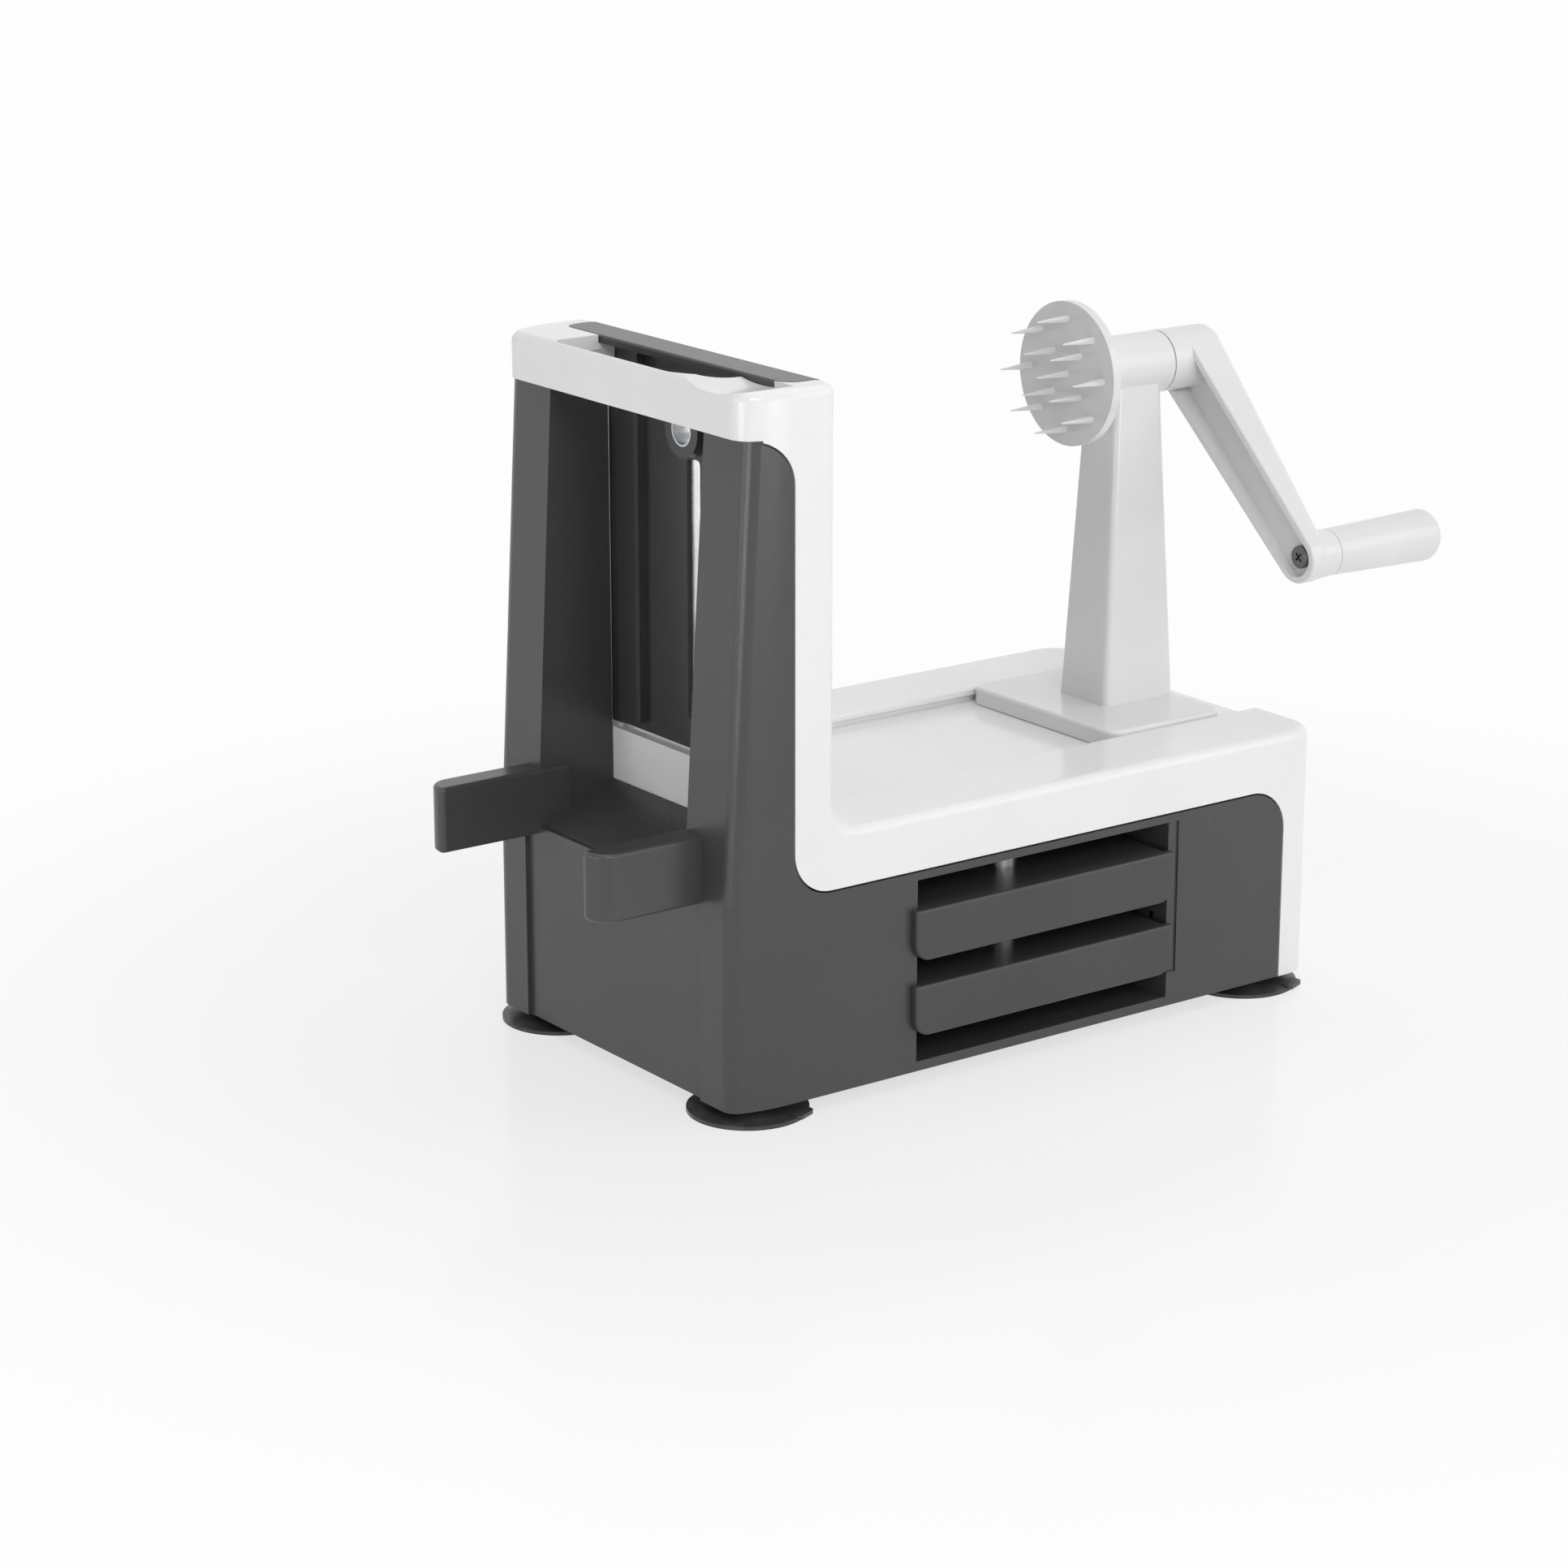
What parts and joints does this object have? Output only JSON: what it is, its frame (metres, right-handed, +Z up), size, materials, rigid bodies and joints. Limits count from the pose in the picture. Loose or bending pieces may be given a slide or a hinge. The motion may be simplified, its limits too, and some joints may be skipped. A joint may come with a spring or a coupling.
{
  "type": "spiralizer with crank",
  "caption": "Hand-cranked vegetable spiralizer: grey housing under a white L-shaped cover, blade insert, sliding crank post, stored inserts and suction feet.",
  "frame": {"origin": "on the bench, under the middle of the whole machine's box at rest", "axes": "+X from the outlet end to the crank end, +Y away from the side with the storage bay's opening, +Z up"},
  "size_m": [0.414, 0.18, 0.2855],
  "materials": {
    "body_grey": "satin moulded plastic",
    "cover_white": "gloss moulded plastic",
    "underside_grey": "fine textured plastic",
    "foot_rubber": "smooth soft rubber",
    "insert_grey": "satin moulded plastic",
    "blade_steel": "ground stainless strip",
    "pin_steel": "plain machined steel",
    "bush_plastic": "natural bearing plastic",
    "holder_white": "gloss moulded plastic",
    "crank_white": "gloss moulded plastic"
  },
  "bodies": {
    "base": {"base_housing": "body_grey", "base_screw_far_crank": "pin_steel", "base_screw_far_outlet": "pin_steel", "base_screw_near_crank": "pin_steel", "base_screw_near_outlet": "pin_steel", "bottom_plate": "underside_grey", "cover_frame": "cover_white", "suction_foot_far_crank": "foot_rubber", "suction_foot_far_outlet": "foot_rubber", "suction_foot_near_crank": "foot_rubber", "suction_foot_near_outlet": "foot_rubber"},
    "cutting_insert": {"slicing_blade": "blade_steel", "slicing_core_tube": "blade_steel", "slicing_insert": "insert_grey"},
    "fine_spare": {"fine_blade": "blade_steel", "fine_comb": "blade_steel", "fine_core_tube": "blade_steel", "fine_insert": "insert_grey"},
    "coarse_spare": {"coarse_blade": "blade_steel", "coarse_comb": "blade_steel", "coarse_core_tube": "blade_steel", "coarse_insert": "insert_grey"},
    "carriage": {"slider_plate": "crank_white", "crank_post": "crank_white", "bearing_bush": "bush_plastic"},
    "crank": {"drive_shaft": "pin_steel", "crank_arm": "crank_white", "crank_screw": "pin_steel", "food_holder": "holder_white", "grip_axle": "pin_steel", "axle_clip": "pin_steel"},
    "grip": {"grip_sleeve": "crank_white"}
  },
  "joints": [
    {"name": "carriage_slide", "type": "slide", "parent": "base", "child": "carriage", "axis": [1, 0, 0], "range_m": [-0.15, 0]},
    {"name": "crank_spin", "type": "hinge", "parent": "carriage", "child": "crank", "pos_m": [0.12625, 0, 0.255], "axis": [1, 0, 0], "continuous": true},
    {"name": "grip_spin", "type": "hinge", "parent": "crank", "child": "grip", "pos_m": [0.16895, -0.07283, 0.18217], "axis": [1, 0, 0], "continuous": true},
    {"name": "insert_lift", "type": "slide", "parent": "base", "child": "cutting_insert", "axis": [0, 0, 1], "range_m": [0, 0.164]},
    {"name": "fine_spare_draw", "type": "slide", "parent": "base", "child": "fine_spare", "axis": [0, -1, 0], "range_m": [0, 0.16]},
    {"name": "coarse_spare_draw", "type": "slide", "parent": "base", "child": "coarse_spare", "axis": [0, -1, 0], "range_m": [0, 0.16]}
  ]
}
